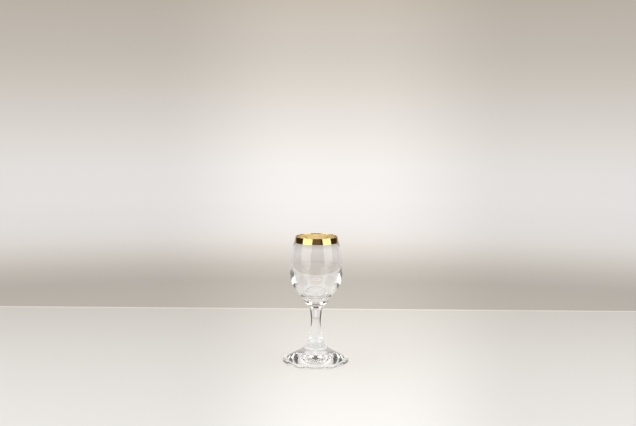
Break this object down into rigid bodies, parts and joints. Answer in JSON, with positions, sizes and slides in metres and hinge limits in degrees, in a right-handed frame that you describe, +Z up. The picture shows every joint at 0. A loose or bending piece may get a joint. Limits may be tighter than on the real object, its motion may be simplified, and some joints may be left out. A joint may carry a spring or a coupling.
{
  "type": "vodka glass",
  "caption": "Small clear stemmed drinking glass with a barrel-shaped bowl, a gold rim, a collar under the bowl, a short stem and a round coned foot.",
  "frame": {"origin": "centre of the ring that the foot stands on, in the plane of the table", "axes": "+Z up along the glass's axis of turning, towards the lip; +X and +Y are level and alike"},
  "size_m": [0.0576, 0.0576, 0.11],
  "materials": {
    "bowl_glass": "clear, fire-polished",
    "fired_gold": "polished liquid gold, fired on",
    "collar_glass": "clear, fire-polished",
    "stem_glass": "clear, fire-polished",
    "foot_glass": "clear, fire-polished"
  },
  "bodies": {
    "root": {"bowl": "bowl_glass", "gold_band": "fired_gold", "collar": "collar_glass", "stem": "stem_glass", "foot": "foot_glass"}
  },
  "joints": []
}
